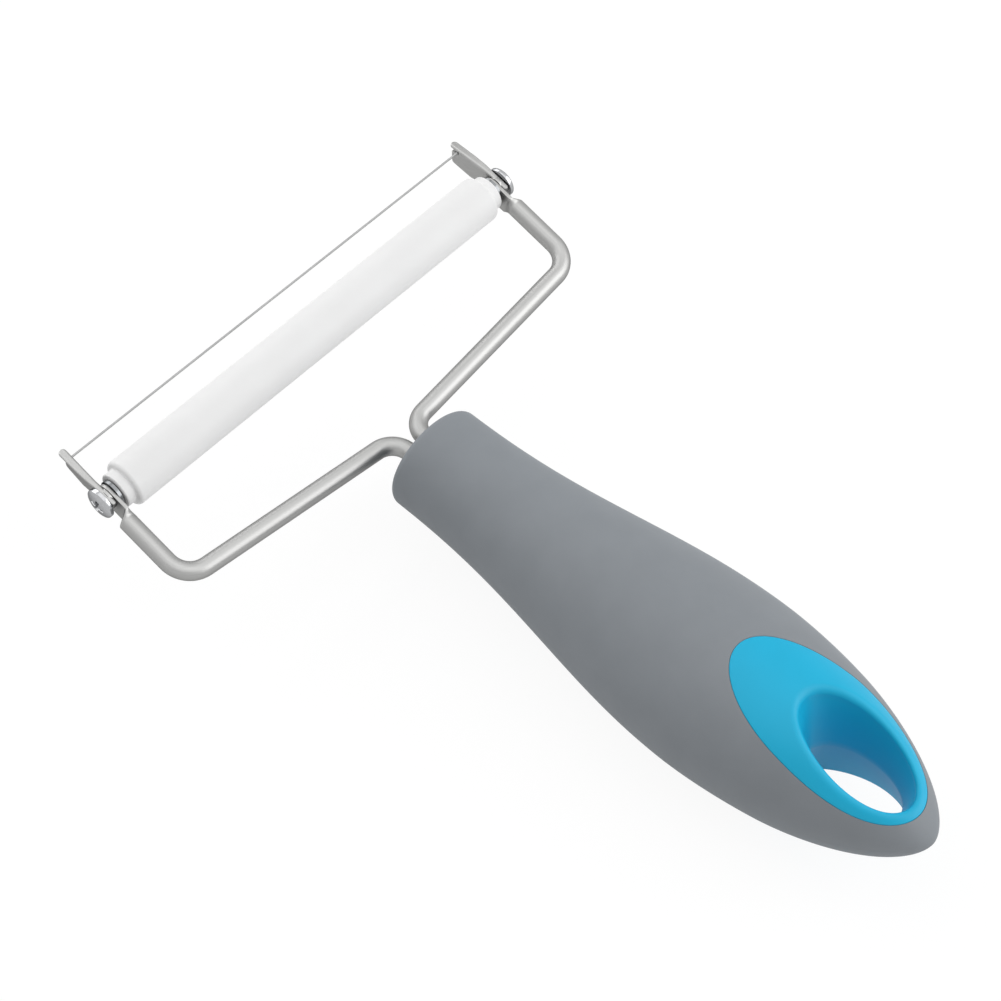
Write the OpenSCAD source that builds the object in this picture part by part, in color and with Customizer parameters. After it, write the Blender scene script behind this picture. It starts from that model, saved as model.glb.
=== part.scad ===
// Cheese slicer: a soft-grip handle carries a forked pair of steel rods.
// A free-running roller and a tilting cutting wire sit at the front of the fork.
// Lengths are in mm. X runs along the roller and Y from the handle to the wire.
// Z is up when the slicer lies on its belly, with the handle axis level.

/* [Roller] */
// Diameter of the guide roller
roller_d = 10; // [8:0.5:12]
// Distance from the middle to the shoulder of the roller
roller_half = 49.5; // [40:0.5:60]
// Diameter of the small hub at each roller end
hub_d = 7.6; // [6:0.1:9]
// Length of the hub beyond the shoulder
hub_len = 2.1; // [1:0.1:4]
// Radius of the rounded shoulder edge
shoulder_r = 0.8; // [0.2:0.1:1.5]
// Depth of the pivot hole in the roller end
roller_hole_depth = 6; // [4:0.5:10]

/* [Pivot screws] */
// Diameter of the plain screw shank
shank_d = 2.2; // [2:0.1:3]
// Diameter of the pan head
head_d = 6.5; // [5:0.1:8]
// Height of the straight rim of the pan head
head_rim = 0.7; // [0.3:0.05:1.5]
// Height of the dome on the pan head
head_dome = 0.9; // [0.3:0.05:1.5]
// Length of one arm of the cross recess
recess_len = 3.4; // [2:0.1:5]
// Width of the cross recess
recess_w = 0.8; // [0.5:0.1:1.2]
// Depth of the cross recess
recess_depth = 1.0; // [0.5:0.1:1.4]
// Radial running clearance on the screw shank
pivot_gap = 0.05; // [0.02:0.01:0.1]

/* [Spacer washers] */
// Outside diameter of the washer beside each roller end
washer_d = 5.8; // [5:0.1:8]
// Thickness of the washer
washer_t = 0.7; // [0.3:0.05:1]

/* [Fork rods] */
// Diameter of the fork rods
rod_d = 3.8; // [3:0.1:5]
// Half distance between the arm centre lines
arm_x = 53.8; // [45:0.1:65]
// Setback of the fork corners behind the roller axis
corner_back = 21; // [15:0.5:35]
// Drop of the fork corners below the roller axis
corner_drop = 6.4; // [0:0.1:12]
// Drop of the arm centre line where it passes under the screw
arm_drop = 0.6; // [0:0.05:3]
// Bend radius of the rods at the fork corners, on the centre line
corner_r = 5.5; // [4:0.5:10]
// Setback of the cross bars where they turn into the handle
cross_back = 25.3; // [20:0.1:40]
// Bend radius of the rods above the handle front, on the centre line
neck_r = 4.6; // [3:0.1:8]
// Half distance between the two rods in the handle
neck_x = 2.35; // [2:0.05:4]
// Length of each rod held inside the handle
socket_len = 50; // [30:1:70]
// Thickness of the flattened rod end
tab_t = 0.8; // [0.6:0.05:2]
// Half width of the flattened rod end and radius of its round tip
tab_r = 2.8; // [2.5:0.1:4]
// Place of the round tip's centre in front of the roller axis
tab_tip_y = 0.2; // [0:0.1:1]
// Place behind the roller axis where the rod starts to flatten
spade_start = 6.2; // [4:0.1:9]
// Place behind the roller axis where the rod end is fully flat
spade_end = 3.9; // [2.5:0.1:5]

/* [Wire brackets] */
// Sheet thickness of the brackets
sheet_t = 0.75; // [0.5:0.05:1]
// Radius of the bracket eye round the screw
eye_r = 2.3; // [2:0.1:5]
// Reach of the bracket web in front of the roller axis
web_reach = 11.75; // [10:0.05:20]
// Reach of the flange tongue in front of the roller axis
flange_reach = 12.4; // [10:0.1:20]
// Reach of the flange behind the roller axis
flange_back = 2.9; // [2:0.1:3.2]
// Height of the flat flange, carried on to above the roller axis
flange_z = 2.35; // [2.3:0.05:5]
// Rise of the flange per mm towards the tongue
flange_rise = 0.14; // [0:0.01:0.4]
// How fast the flange curves down over the screw, per mm squared
flange_dip = 0.015; // [0:0.001:0.03]
// Thickness of the flange
flange_t = 0.55; // [0.4:0.05:0.6]
// Width of the flange in front of the screw
flange_w = 1.55; // [1:0.05:3]
// How far the front end of the web leans inward
lean = 0.5; // [0:0.05:1]

/* [Cutting wire] */
// Diameter of the cutting wire
wire_d = 0.45; // [0.3:0.05:0.8]
// Distance of the wire in front of the roller axis
wire_y = 10.27; // [8:0.05:16]
// Height of the wire above the roller axis
wire_z = 2.9; // [0:0.01:4]

/* [Handle] */
// Length of the handle
handle_len = 125; // [100:1:160]
// Setback of the handle front behind the roller axis
handle_front = 33; // [28:0.5:50]
// Drop of the handle axis below the roller axis
handle_drop = 8.69; // [4:0.01:14]
// Half width of the handle at the front
front_a = 11.5; // [8:0.1:16]
// Half width of the handle at its widest place
belly_a = 19.05; // [14:0.05:26]
// Half height of the handle at the front
front_b = 10.4; // [8:0.1:14]
// Half height of the handle at its thickest place
belly_b = 15.24; // [10:0.02:20]
// Distance from the front to the widest place
wide_at = 76; // [50:1:100]
// Distance from the front to where the full height is reached
high_at = 66.6; // [40:0.1:90]
// Distance from the front to where the height starts to fall
fall_at = 96.5; // [70:0.5:115]
// Radius of the rounded front edge
front_r = 1.6; // [0.5:0.1:4]
// Ratio of the core width to the handle width
core_ka = 0.87; // [0.7:0.01:0.95]
// Ratio of the core height to the handle height
core_kb = 0.84; // [0.7:0.01:0.95]

/* [Hang eye] */
// Setback of the coloured oval behind the roller axis
oval_y = 132.4; // [110:0.1:140]
// Half length of the coloured oval
oval_l = 21.6; // [15:0.1:25]
// Half width of the coloured oval
oval_w = 11.25; // [8:0.05:14]
// Width of the fine groove round the oval
oval_gap = 0.15; // [0.05:0.05:0.4]
// Setback of the hang hole behind the roller axis
hole_y = 139.85; // [120:0.05:145]
// Half length of the hang hole at its waist
hole_l = 10.15; // [6:0.05:14]
// Half width of the hang hole at its waist
hole_w = 5.55; // [3:0.05:8]
// Flare of each hole wall in width, from the waist to the rim
flare_w = 1.6; // [0:0.1:3]
// Flare of each hole wall in length, from the waist to the rim
flare_l = 2.4; // [0:0.1:4]
// Shift of the flared end of the hole towards the handle front
flare_shift = 0.6; // [-1:0.1:2]
// Radius of the rolled rim of the hang hole
rim_r = 1.9; // [0.5:0.1:4]

/* [Hidden] */

$fn = 48;

// Bars reach a little way into the bends, which are thicker by a hair
lap = 0.2;
step = 0.01;

// Small gap between pieces of one body and the side gap of moving pieces
seat_gap = 0.03;
side_gap = 0.1;
bore_r = shank_d / 2 + pivot_gap;
hub_end = roller_half + hub_len;
washer_x0 = hub_end + 2.5 * side_gap;
washer_x1 = washer_x0 + washer_t;
tab_x0 = washer_x1 + seat_gap;
tab_x1 = tab_x0 + tab_t;
bracket_x0 = tab_x1 + side_gap;
bracket_x1 = bracket_x0 + sheet_t;
lean_y = 3.2;
web_x0 = bracket_x0 - lean;
web_x1 = web_x0 + sheet_t;
loop_x = bracket_x1 + wire_d / 2 + seat_gap;
head_x0 = loop_x + wire_d / 2 + 1.5 * side_gap;
head_x1 = head_x0 + head_rim + head_dome;
shank_end = hub_end - roller_hole_depth + 0.8;

// The handle axis lies handle_drop below the roller axis
zc = -handle_drop;
handle_end = -handle_front - handle_len;
shift_y = (-handle_end - flange_reach) / 2;
shift_z = handle_drop + belly_b;

// Powers that shape the swelling and the rounded rear end
swell_power = 1.19;
tail_power_a = 1.76;
tail_power_b = 1.56;
sides = 28;
swell_rings = 14;
tail_rings = 14;

function clamp01(t) = min(1, max(0, t));
function unit(v) = v / norm(v);
function swell(u, at) = 0.5 - 0.5 * cos(180 * pow(clamp01(u / at), swell_power));
function tail(u, at, n) = pow(1 - pow(clamp01((u - at) / (handle_len - at)), n), 1 / n);
function half_w(u) = (front_a + (belly_a - front_a) * swell(u, wide_at)) * tail(u, wide_at, tail_power_a);
function half_h(u) = (front_b + (belly_b - front_b) * swell(u, high_at)) * tail(u, fall_at, tail_power_b);

// Stations along the handle: distance from the front and inset of the rounded edge
stations = concat(
  [for (t = [0:22.5:90]) [front_r * (1 - cos(t)), front_r * (1 - sin(t))]],
  [for (k = [1:swell_rings]) [front_r + (wide_at - front_r) * k / swell_rings, 0]],
  [for (k = [1:tail_rings - 1]) [wide_at + (handle_len - wide_at) * sin(90 * k / tail_rings), 0]]
);

// One elliptical ring of the handle, scaled by ka and kb and moved in by cap
function handle_ring(s, ka, kb, cap) = [
  for (i = [0:sides - 1])
    [
      ka * (half_w(s[0]) - s[1]) * sin(360 * i / sides),
      -handle_front - cap - s[0] * (handle_len - 2 * cap) / handle_len,
      zc + kb * (half_h(s[0]) - s[1]) * cos(360 * i / sides)
    ]
];

// Height of the handle surface above its axis at a plan position
function surface_h(x, y) =
  half_h(-handle_front - y) * sqrt(max(0, 1 - pow(x / half_w(-handle_front - y), 2)));

// Rim of the hang hole: depth under the surface and outward roll, both over the rim radius
rim_steps = [for (t = [0:18:90]) [1 - sin(t), 1 - cos(t)]];

// A point of the hang hole: up is 0 at the waist and 1 at the rim, side is 1 above the axis and -1 below
function hole_point(phi, up, depth, roll, side, over) =
  let (
    x = -(hole_w + flare_w * up + rim_r * roll) * sin(phi),
    y = flare_shift * up - hole_y + (hole_l + flare_l * up + rim_r * roll) * cos(phi)
  )
  [x, y, zc + side * up * (surface_h(x, y) - rim_r * depth + over)];

// Closed skin over a list of rings, with a fan to a point at each end
module loft(rings, first, last) {
  n = len(rings[0]);
  m = len(rings);
  points = concat([for (r = rings) for (p = r) p], [first, last]);
  walls = [for (j = [0:m - 2]) for (i = [0:n - 1])
    let (a = j * n + i, b = j * n + (i + 1) % n)
    [a, b, a + n]];
  walls_too = [for (j = [0:m - 2]) for (i = [0:n - 1])
    let (a = j * n + i, b = j * n + (i + 1) % n)
    [b, b + n, a + n]];
  front_cap = [for (i = [0:n - 1]) [m * n, (i + 1) % n, i]];
  rear_cap = [for (i = [0:n - 1]) [m * n + 1, (m - 1) * n + i, (m - 1) * n + (i + 1) % n]];
  polyhedron(points = points, faces = concat(walls, walls_too, front_cap, rear_cap), convexity = 6);
}

// The whole outside of the handle
module handle_skin() {
  loft(
    [for (s = stations) handle_ring(s, 1, 1, 0)],
    [0, -handle_front, zc],
    [0, handle_end, zc]
  );
}

// The outside of the hard core under the soft grip
module core_skin() {
  cap = 2.5;
  loft(
    [for (s = stations) handle_ring(s, core_ka, core_kb, cap)],
    [0, -handle_front - cap, zc],
    [0, handle_end + cap, zc]
  );
}

// Upright prism in the outline of the coloured oval
module oval_prism(grow) {
  translate([0, -oval_y, zc - 20])
    linear_extrude(height = 40)
      polygon([for (t = [0:7.5:352.5]) [(oval_w + grow) * cos(t), (oval_l + grow) * sin(t)]]);
}

// The through hole of the hang eye: two flared walls that meet in a waist, with rolled rims
module hang_hole() {
  turn = 360 / 32;
  loft(
    concat(
      [[for (i = [0:31]) hole_point(i * turn, 1, 0, 1, 1, 3)]],
      [for (s = rim_steps) [for (i = [0:31]) hole_point(i * turn, 1, 1 - s[0], s[1], 1, 0)]],
      [[for (i = [0:31]) hole_point(i * turn, 0, 0, 0, 1, 0)]],
      [for (s = rim_steps) [for (i = [0:31]) hole_point(i * turn, 1, s[0], 1 - s[1], -1, 0)]],
      [[for (i = [0:31]) hole_point(i * turn, 1, 0, 1, -1, 3)]]
    ),
    [0, -hole_y, zc + 20],
    [0, -hole_y, zc - 20]
  );
}

// Round bar from p to q
module bar(p, q, r) {
  d = q - p;
  translate(p)
    rotate([0, acos(d.z / norm(d)), atan2(d.y, d.x)])
      cylinder(h = norm(d), r = r);
}

// Distance from a corner to where a bend of the given radius starts
function reach(a, p, b, radius) = radius / tan(acos(unit(a - p) * unit(b - p)) / 2);

// Round bend at corner p, between the lines to a and to b
module bend(a, p, b, radius, r) {
  u = unit(a - p);
  v = unit(b - p);
  theta = acos(u * v);
  c = p + unit(u + v) * radius / sin(theta / 2);
  x = unit(p + u * radius / tan(theta / 2) - c);
  z = unit(cross(x, p + v * radius / tan(theta / 2) - c));
  y = cross(z, x);
  multmatrix([
    [x.x, y.x, z.x, c.x],
    [x.y, y.y, z.y, c.y],
    [x.z, y.z, z.z, c.z],
    [0, 0, 0, 1]
  ])
    rotate_extrude(angle = 180 - theta)
      translate([radius, 0])
        circle(r = r);
}

// Cylinder along X from x0 to x1 on one side, on the roller axis
module axle(side, x0, x1, r) {
  translate([side > 0 ? x0 : -x1, 0, 0])
    rotate([0, 90, 0])
      cylinder(h = x1 - x0, r = r);
}

// Plate in the YZ plane from x0 to x1 on one side
module side_plate(side, x0, x1, outline) {
  translate([side > 0 ? x0 : -x1, 0, 0])
    rotate([90, 0, 90])
      linear_extrude(height = x1 - x0)
        polygon(outline);
}

// Key points of one rod: arm end, corner, neck and socket end
arm_slope = (corner_drop - arm_drop) / corner_back;
arm_rise = atan(arm_slope);
function arm_z(y) = arm_slope * y - arm_drop;
function corner_point(side) = [side * arm_x, -corner_back, -corner_drop];
function neck_point(side) = [side * neck_x, -cross_back, -handle_drop + 0.1];
function socket_point(side) = [side * neck_x, -handle_front - socket_len, -handle_drop];

// Power of a signed number, for rounded-square sections
function soft(v, n) = sign(v) * pow(abs(v), n);

// Rod end between round and flat: the section spreads and thins step by step
module spade(side) {
  steps = 8;
  rings = [for (k = [0:steps])
    let (
      t = k / steps,
      e = (1 - cos(180 * t)) / 2,
      y = -spade_start + (spade_start - spade_end) * t,
      ax = 0.98 * (rod_d + (tab_t - rod_d) * e) / 2,
      az = 0.98 * (rod_d / 2 + (tab_r - rod_d / 2) * e),
      cx = arm_x + ((tab_x0 + tab_x1) / 2 - arm_x) * e,
      n = 1 - 0.6 * e
    )
    [for (i = [0:23])
      [
        side * (cx - ax * soft(sin(15 * i), n)),
        y,
        arm_z(y) + side * az * soft(cos(15 * i), n)
      ]]];
  loft(rings, (rings[0][0] + rings[0][12]) / 2, (rings[steps][0] + rings[steps][12]) / 2);
}

// Flat rod end: a strap along the arm with a round tip round the screw
module tab(side) {
  across = [-sin(arm_rise), cos(arm_rise)] * tab_r;
  back = [-spade_end - 0.5, arm_z(-spade_end - 0.5)];
  tip = [tab_tip_y, arm_z(tab_tip_y)];
  side_plate(side, tab_x0, tab_x1, [back + across, tip + across, tip - across, back - across]);
  translate([0, tip[0], tip[1]])
    axle(side, tab_x0, tab_x1, tab_r);
}

module fork_rod(side) {
  a = [side * arm_x, -spade_start + 0.3, arm_z(-spade_start + 0.3)];
  k = corner_point(side);
  n = neck_point(side);
  s = socket_point(side);
  r = rod_d / 2;
  difference() {
    union() {
      bar(a, k + unit(a - k) * (reach(a, k, n, corner_r) - lap), r);
      bend(a, k, n, corner_r, r + step);
      bar(
        k + unit(n - k) * (reach(a, k, n, corner_r) - lap),
        n + unit(k - n) * (reach(k, n, s, neck_r) - lap),
        r
      );
      bend(k, n, s, neck_r, r + step);
      bar(n + unit(s - n) * (reach(k, n, s, neck_r) - lap), s, r);
      spade(side);
      tab(side);
    }
    axle(side, tab_x0 - 1, tab_x1 + 1, bore_r);
  }
}

// Room for one rod inside the handle
module rod_socket(side) {
  n = neck_point(side);
  s = socket_point(side);
  bar(n, s + unit(s - n) * seat_gap, rod_d / 2 + step + seat_gap);
}

module grip_sleeve() {
  color("#757a7e")
    difference() {
      handle_skin();
      core_skin();
      oval_prism(oval_gap);
      rod_socket(-1);
      rod_socket(1);
    }
}

module handle_core() {
  color("#1fa5d8")
    difference() {
      union() {
        core_skin();
        intersection() {
          handle_skin();
          oval_prism(0);
        }
      }
      hang_hole();
      rod_socket(-1);
      rod_socket(1);
    }
}

module left_fork_rod() {
  color("#b9bcbe")
    fork_rod(-1);
}

module right_fork_rod() {
  color("#b9bcbe")
    fork_rod(1);
}

module spacer_washer(side) {
  difference() {
    axle(side, washer_x0, washer_x1, washer_d / 2);
    axle(side, washer_x0 - 1, washer_x1 + 1, bore_r);
  }
}

module left_spacer_washer() {
  color("#999c9e")
    spacer_washer(-1);
}

module right_spacer_washer() {
  color("#999c9e")
    spacer_washer(1);
}

// Height of the flange top at a place in front of the roller axis
function flange_top(y) = flange_z + flange_rise * y - flange_dip * pow(max(0, 3 - y), 2);

// Upright prism with its plan outline mirrored to one side
module plan_prism(side, outline) {
  translate([0, 0, -8])
    linear_extrude(height = 16)
      polygon([for (p = outline) [side * p[0], p[1]]]);
}

// Web of the bracket: a round eye at the screw, notched in front for the wire
module bracket_web(side) {
  notch_y = wire_y - wire_d / 2 - 0.2;
  notch_z = wire_z - wire_d / 2 - 0.2;
  intersection() {
    plan_prism(side, [
      [bracket_x0, -eye_r - 1],
      [bracket_x1, -eye_r - 1],
      [bracket_x1, lean_y],
      [web_x1, web_reach],
      [web_x0, web_reach],
      [bracket_x0, lean_y]
    ]);
    union() {
      axle(side, 50, 58, eye_r);
      side_plate(side, 50, 58, concat(
        [
          [0, -eye_r],
          [5.2, -1.9],
          [6.6, -2.05],
          [11.4, -0.8],
          [web_reach, 0],
          [web_reach, notch_z],
          [notch_y, notch_z]
        ],
        [for (k = [0:6])
          let (y = notch_y - (notch_y + 1.6) * k / 6)
          [y, flange_top(y) - 0.1]]
      ));
    }
  }
}

// Flange of the bracket: it passes over the screw and has a round end each way
module bracket_flange(side) {
  back_x1 = bracket_x1 + 0.45;
  front_x1 = web_x0 + flange_w;
  end_r = (back_x1 - bracket_x0) / 2;
  intersection() {
    plan_prism(side, concat(
      [for (t = [180:22.5:360])
        [bracket_x0 + end_r + end_r * cos(t), end_r - flange_back + end_r * sin(t)]],
      [[back_x1, 2.8], [front_x1, flange_reach - 1.9]],
      [for (t = [0:22.5:90])
        [web_x0 + 0.55 + 0.5 * cos(t), flange_reach - 0.5 + 0.5 * sin(t)]],
      [for (t = [112.5:22.5:180])
        [web_x0 + 0.4 + 0.4 * cos(t), flange_reach - 0.4 + 0.4 * sin(t)]],
      [[bracket_x0, lean_y]]
    ));
    side_plate(side, 50, 58, concat(
      [for (y = [-flange_back - 0.5:1:3]) [y, flange_top(y) - flange_t]],
      [[13, flange_top(13) - flange_t], [13, flange_top(13)]],
      [for (y = [2.6:-1:-flange_back - 0.6]) [y, flange_top(y)]]
    ));
  }
}

// Sheet bracket: upright web and a flange bent outward
module wire_bracket(side) {
  difference() {
    union() {
      bracket_web(side);
      bracket_flange(side);
    }
    axle(side, bracket_x0 - 1, bracket_x1 + 1, bore_r);
  }
}

module left_wire_bracket() {
  color("#aeb1b3")
    wire_bracket(-1);
}

module right_wire_bracket() {
  color("#aeb1b3")
    wire_bracket(1);
}

// Pan head screw with a plain shank, an elliptical dome and a cross recess
module pivot_screw(side) {
  difference() {
    rotate([0, side * 90, 0])
      rotate_extrude()
        polygon(concat(
          [[0, shank_end], [shank_d / 2 - 0.3, shank_end], [shank_d / 2, shank_end + 0.3]],
          [[shank_d / 2, head_x0], [head_d / 2 - 0.1, head_x0], [head_d / 2, head_x0 + 0.1]],
          [for (t = [0:9:90])
            [head_d / 2 * cos(t), head_x0 + head_rim + head_dome * sin(t)]]
        ));
    for (turn = [12, 102])
      translate([side * (head_x1 - recess_depth / 2 + 0.5), 0, 0])
        rotate([turn, 0, 0])
          cube([recess_depth + 1, recess_len, recess_w], center = true);
  }
}

module left_pivot_screw() {
  color("#c4c6c8")
    pivot_screw(-1);
}

module right_pivot_screw() {
  color("#c4c6c8")
    pivot_screw(1);
}

module roller() {
  bottom = hub_end - roller_hole_depth;
  color("#ebebe9")
    rotate([0, 90, 0])
      rotate_extrude()
        polygon(concat(
          [[0, -bottom], [bore_r, -bottom], [bore_r, -hub_end]],
          [[hub_d / 2 - 0.3, -hub_end], [hub_d / 2, -hub_end + 0.3], [hub_d / 2, -roller_half]],
          [for (t = [0:22.5:90])
            [roller_d / 2 - shoulder_r * (1 - sin(t)), -roller_half + shoulder_r * (1 - cos(t))]],
          [for (t = [90:-22.5:0])
            [roller_d / 2 - shoulder_r * (1 - sin(t)), roller_half - shoulder_r * (1 - cos(t))]],
          [[hub_d / 2, roller_half], [hub_d / 2, hub_end - 0.3], [hub_d / 2 - 0.3, hub_end]],
          [[bore_r, hub_end], [bore_r, bottom], [0, bottom]]
        ));
}

// Key points of the wire: middle, corner at the notch, knee where the web starts to lean
// and end on the screw loop
wire_mid = [0, wire_y, wire_z];
loop_r = shank_d / 2 + wire_d / 2 + 0.05;
wire_bend = 0.5;
knee_bend = 3;
run_angle = atan2(wire_z, wire_y) - asin(loop_r / norm([wire_y, wire_z]));
run_slope = tan(run_angle);
lean_slope = lean / (web_reach - lean_y);
function wire_corner(side) = [side * (loop_x + 0.01 - lean_slope * (wire_y - lean_y)), wire_y, wire_z];
function wire_tail(side) = [side * loop_x, -loop_r * sin(run_angle), loop_r * cos(run_angle)];
function wire_knee(side) = [side * loop_x, lean_y, wire_z - run_slope * (wire_y - lean_y)];

// One end of the wire: round the notch, back along the web and round the screw
module wire_end(side) {
  r = wire_d / 2;
  c = wire_corner(side);
  k = wire_knee(side);
  e = wire_tail(side);
  hair = step / 2;
  over = lap / 4;
  bend(wire_mid, c, k, wire_bend, r + hair);
  bar(
    c + unit(k - c) * (reach(wire_mid, c, k, wire_bend) - over),
    k + unit(c - k) * (reach(c, k, e, knee_bend) - over),
    r
  );
  bend(c, k, e, knee_bend, r + hair);
  bar(k + unit(e - k) * (reach(c, k, e, knee_bend) - over), e, r);
  translate([side * loop_x, 0, 0])
    rotate([0, 90, 0])
      rotate_extrude()
        translate([loop_r, 0])
          circle(r = r + hair);
}

module cutting_wire() {
  inset = wire_corner(1)[0] - reach(wire_mid, wire_corner(1), wire_knee(1), wire_bend) + lap / 4;
  color("#9b9ea0")
    union() {
      bar([-inset, wire_y, wire_z], [inset, wire_y, wire_z], wire_d / 2);
      wire_end(-1);
      wire_end(1);
    }
}

// Everything sits on Z = 0 with the origin under the middle of the bounding box
module placed() {
  translate([0, shift_y, shift_z])
    children();
}

placed() grip_sleeve();
placed() handle_core();
placed() left_fork_rod();
placed() right_fork_rod();
placed() left_spacer_washer();
placed() right_spacer_washer();
placed() left_wire_bracket();
placed() right_wire_bracket();
placed() left_pivot_screw();
placed() right_pivot_screw();
placed() roller();
placed() cutting_wire();
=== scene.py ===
"""Cheese slicer with a soft grip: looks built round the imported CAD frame."""

import math

import bmesh
import bpy
import numpy as np
from mathutils import Matrix, Vector


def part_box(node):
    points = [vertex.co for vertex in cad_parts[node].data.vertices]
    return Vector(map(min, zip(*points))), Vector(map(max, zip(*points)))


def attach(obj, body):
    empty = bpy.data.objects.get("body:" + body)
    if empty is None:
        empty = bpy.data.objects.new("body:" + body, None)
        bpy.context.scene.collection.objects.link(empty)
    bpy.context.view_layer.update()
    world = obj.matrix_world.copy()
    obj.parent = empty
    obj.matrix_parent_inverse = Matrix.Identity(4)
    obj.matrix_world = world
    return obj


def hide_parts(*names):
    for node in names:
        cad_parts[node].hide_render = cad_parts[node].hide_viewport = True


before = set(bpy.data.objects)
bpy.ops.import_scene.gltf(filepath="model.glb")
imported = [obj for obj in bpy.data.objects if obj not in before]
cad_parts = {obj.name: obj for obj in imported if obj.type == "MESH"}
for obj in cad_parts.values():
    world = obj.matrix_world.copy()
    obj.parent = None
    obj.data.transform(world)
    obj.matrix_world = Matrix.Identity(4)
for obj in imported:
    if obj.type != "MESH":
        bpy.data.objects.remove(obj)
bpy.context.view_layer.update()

bl_info = {
    "name": "Cheese slicer",
    "version": (1, 0, 0),
    "blender": (4, 5, 0),
    "location": "3D View > Sidebar > Cheese slicer",
    "description": "Builds a wire cheese slicer with a soft grip, a guide roller and a studio",
    "category": "Add Mesh",
}

MM = 0.001
ROLLER_LOW, ROLLER_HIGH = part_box("roller")
AXIS = (ROLLER_LOW + ROLLER_HIGH) / 2
AXIS_POINT = np.array(AXIS)
# Points nearer to each other than this become one
MERGE = 0.002 * MM


def length(name, description, default_mm):
    """A length property in metres with its default written in millimetres."""
    return bpy.props.FloatProperty(
        name=name, description=description, default=default_mm * MM, min=0.0, unit="LENGTH", precision=5
    )


def colour(name, description, default_hex):
    """A colour property whose default is an sRGB hex value."""
    return bpy.props.FloatVectorProperty(
        name=name, description=description, default=linear(default_hex), subtype="COLOR", min=0.0, max=1.0
    )


def linear(hex_colour):
    """sRGB hex to linear red, green, blue: c/12.92 near black, ((c+0.055)/1.055)^2.4 above."""
    srgb = np.array([int(hex_colour[i : i + 2], 16) for i in (1, 3, 5)]) / 255
    return tuple(np.where(srgb <= 0.04045, srgb / 12.92, ((srgb + 0.055) / 1.055) ** 2.4))


class HandleSizes(bpy.types.PropertyGroup):
    """Sizes of the handle: as in the CAD source, with a finer groove and softened edges beside it."""

    length: length("Length", "Handle length", 125)
    setback: length("Setback", "Handle front behind the roller axis", 33)
    drop: length("Drop", "Handle axis below the roller axis", 8.69)
    front_a: length("Front half width", "Half width at the front", 11.5)
    belly_a: length("Belly half width", "Half width at the widest place", 19.05)
    front_b: length("Front half height", "Half height at the front", 10.4)
    belly_b: length("Belly half height", "Half height at the thickest place", 15.24)
    wide_at: length("Widest at", "Front to the widest place", 76)
    high_at: length("Full height at", "Front to where the full height is reached", 66.6)
    fall_at: length("Height falls at", "Front to where the height starts to fall", 96.5)
    front_r: length("Front edge radius", "Radius of the rounded front edge", 1.6)
    oval_setback: length("Oval setback", "Oval centre behind the roller axis", 132.4)
    oval_l: length("Oval half length", "Half length of the coloured oval", 21.6)
    oval_w: length("Oval half width", "Half width of the coloured oval", 11.25)
    oval_gap: length("Groove", "Width of the groove round the oval", 0.06)
    edge_r: length("Edge radius", "Rounding of both edges of the groove", 0.12)
    hole_setback: length("Hole setback", "Hang hole centre behind the roller axis", 139.85)
    hole_l: length("Hole half length", "Half length of the hang hole at its waist", 10.15)
    hole_w: length("Hole half width", "Half width of the hang hole at its waist", 5.55)
    flare_l: length("Flare in length", "Growth of the half length from the waist to the rim", 2.4)
    flare_w: length("Flare in width", "Growth of the half width from the waist to the rim", 1.6)
    flare_shift: length("Flare shift", "Shift of the rim towards the handle front", 0.6)
    rim_r: length("Rim radius", "Radius of the rolled rim of the hang hole", 1.9)


class RollerSizes(bpy.types.PropertyGroup):
    """Sizes of the guide roller, as in the CAD source."""

    radius: length("Radius", "Roller radius", 5)
    half: length("Half length", "Middle to shoulder", 49.5)
    hub_r: length("Hub radius", "Radius of the end hubs", 3.8)
    hub_len: length("Hub length", "Length of a hub beyond the shoulder", 2.1)
    shoulder_r: length("Shoulder radius", "Rounding of the shoulder", 0.8)
    bore_r: length("Bore radius", "Radius of the pivot hole", 1.15)
    bore_depth: length("Bore depth", "Depth of the pivot hole", 6)


class RodSizes(bpy.types.PropertyGroup):
    """Sizes of the fork rods: as in the CAD source, with a shorter way from round to flat."""

    radius: length("Radius", "Rod radius", 1.9)
    arm_x: length("Arm distance", "Middle to the arm centre line", 53.8)
    corner_back: length("Corner setback", "Fork corner behind the roller axis", 21)
    corner_drop: length("Corner drop", "Fork corner below the roller axis", 6.4)
    arm_drop: length("Arm drop", "Arm centre line below the screw", 0.6)
    corner_r: length("Corner radius", "Bend radius at the fork corner", 5.5)
    cross_back: length("Cross setback", "Cross bar end behind the roller axis", 25.3)
    neck_r: length("Neck radius", "Bend radius in front of the handle", 4.6)
    neck_x: length("Neck distance", "Middle to a rod in the handle", 2.35)
    socket: length("Socket", "Length of rod inside the handle", 50)
    tab_x: length("Tab distance", "Middle to the mid plane of the flat end", 52.98)
    tab_t: length("Tab thickness", "Thickness of the flat end", 0.8)
    tab_r: length("Tab radius", "Half width of the flat end and radius of its tip", 2.8)
    tip: length("Tip", "Centre of the round tip in front of the roller axis", 0.2)
    spade_start: length("Flattening starts", "Place behind the axis where the rod starts to flatten", 5.6)
    spade_end: length("Flattening ends", "Place behind the axis where the rod is flat", 3.9)
    bore_r: length("Bore radius", "Radius of the screw hole", 1.15)


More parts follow.
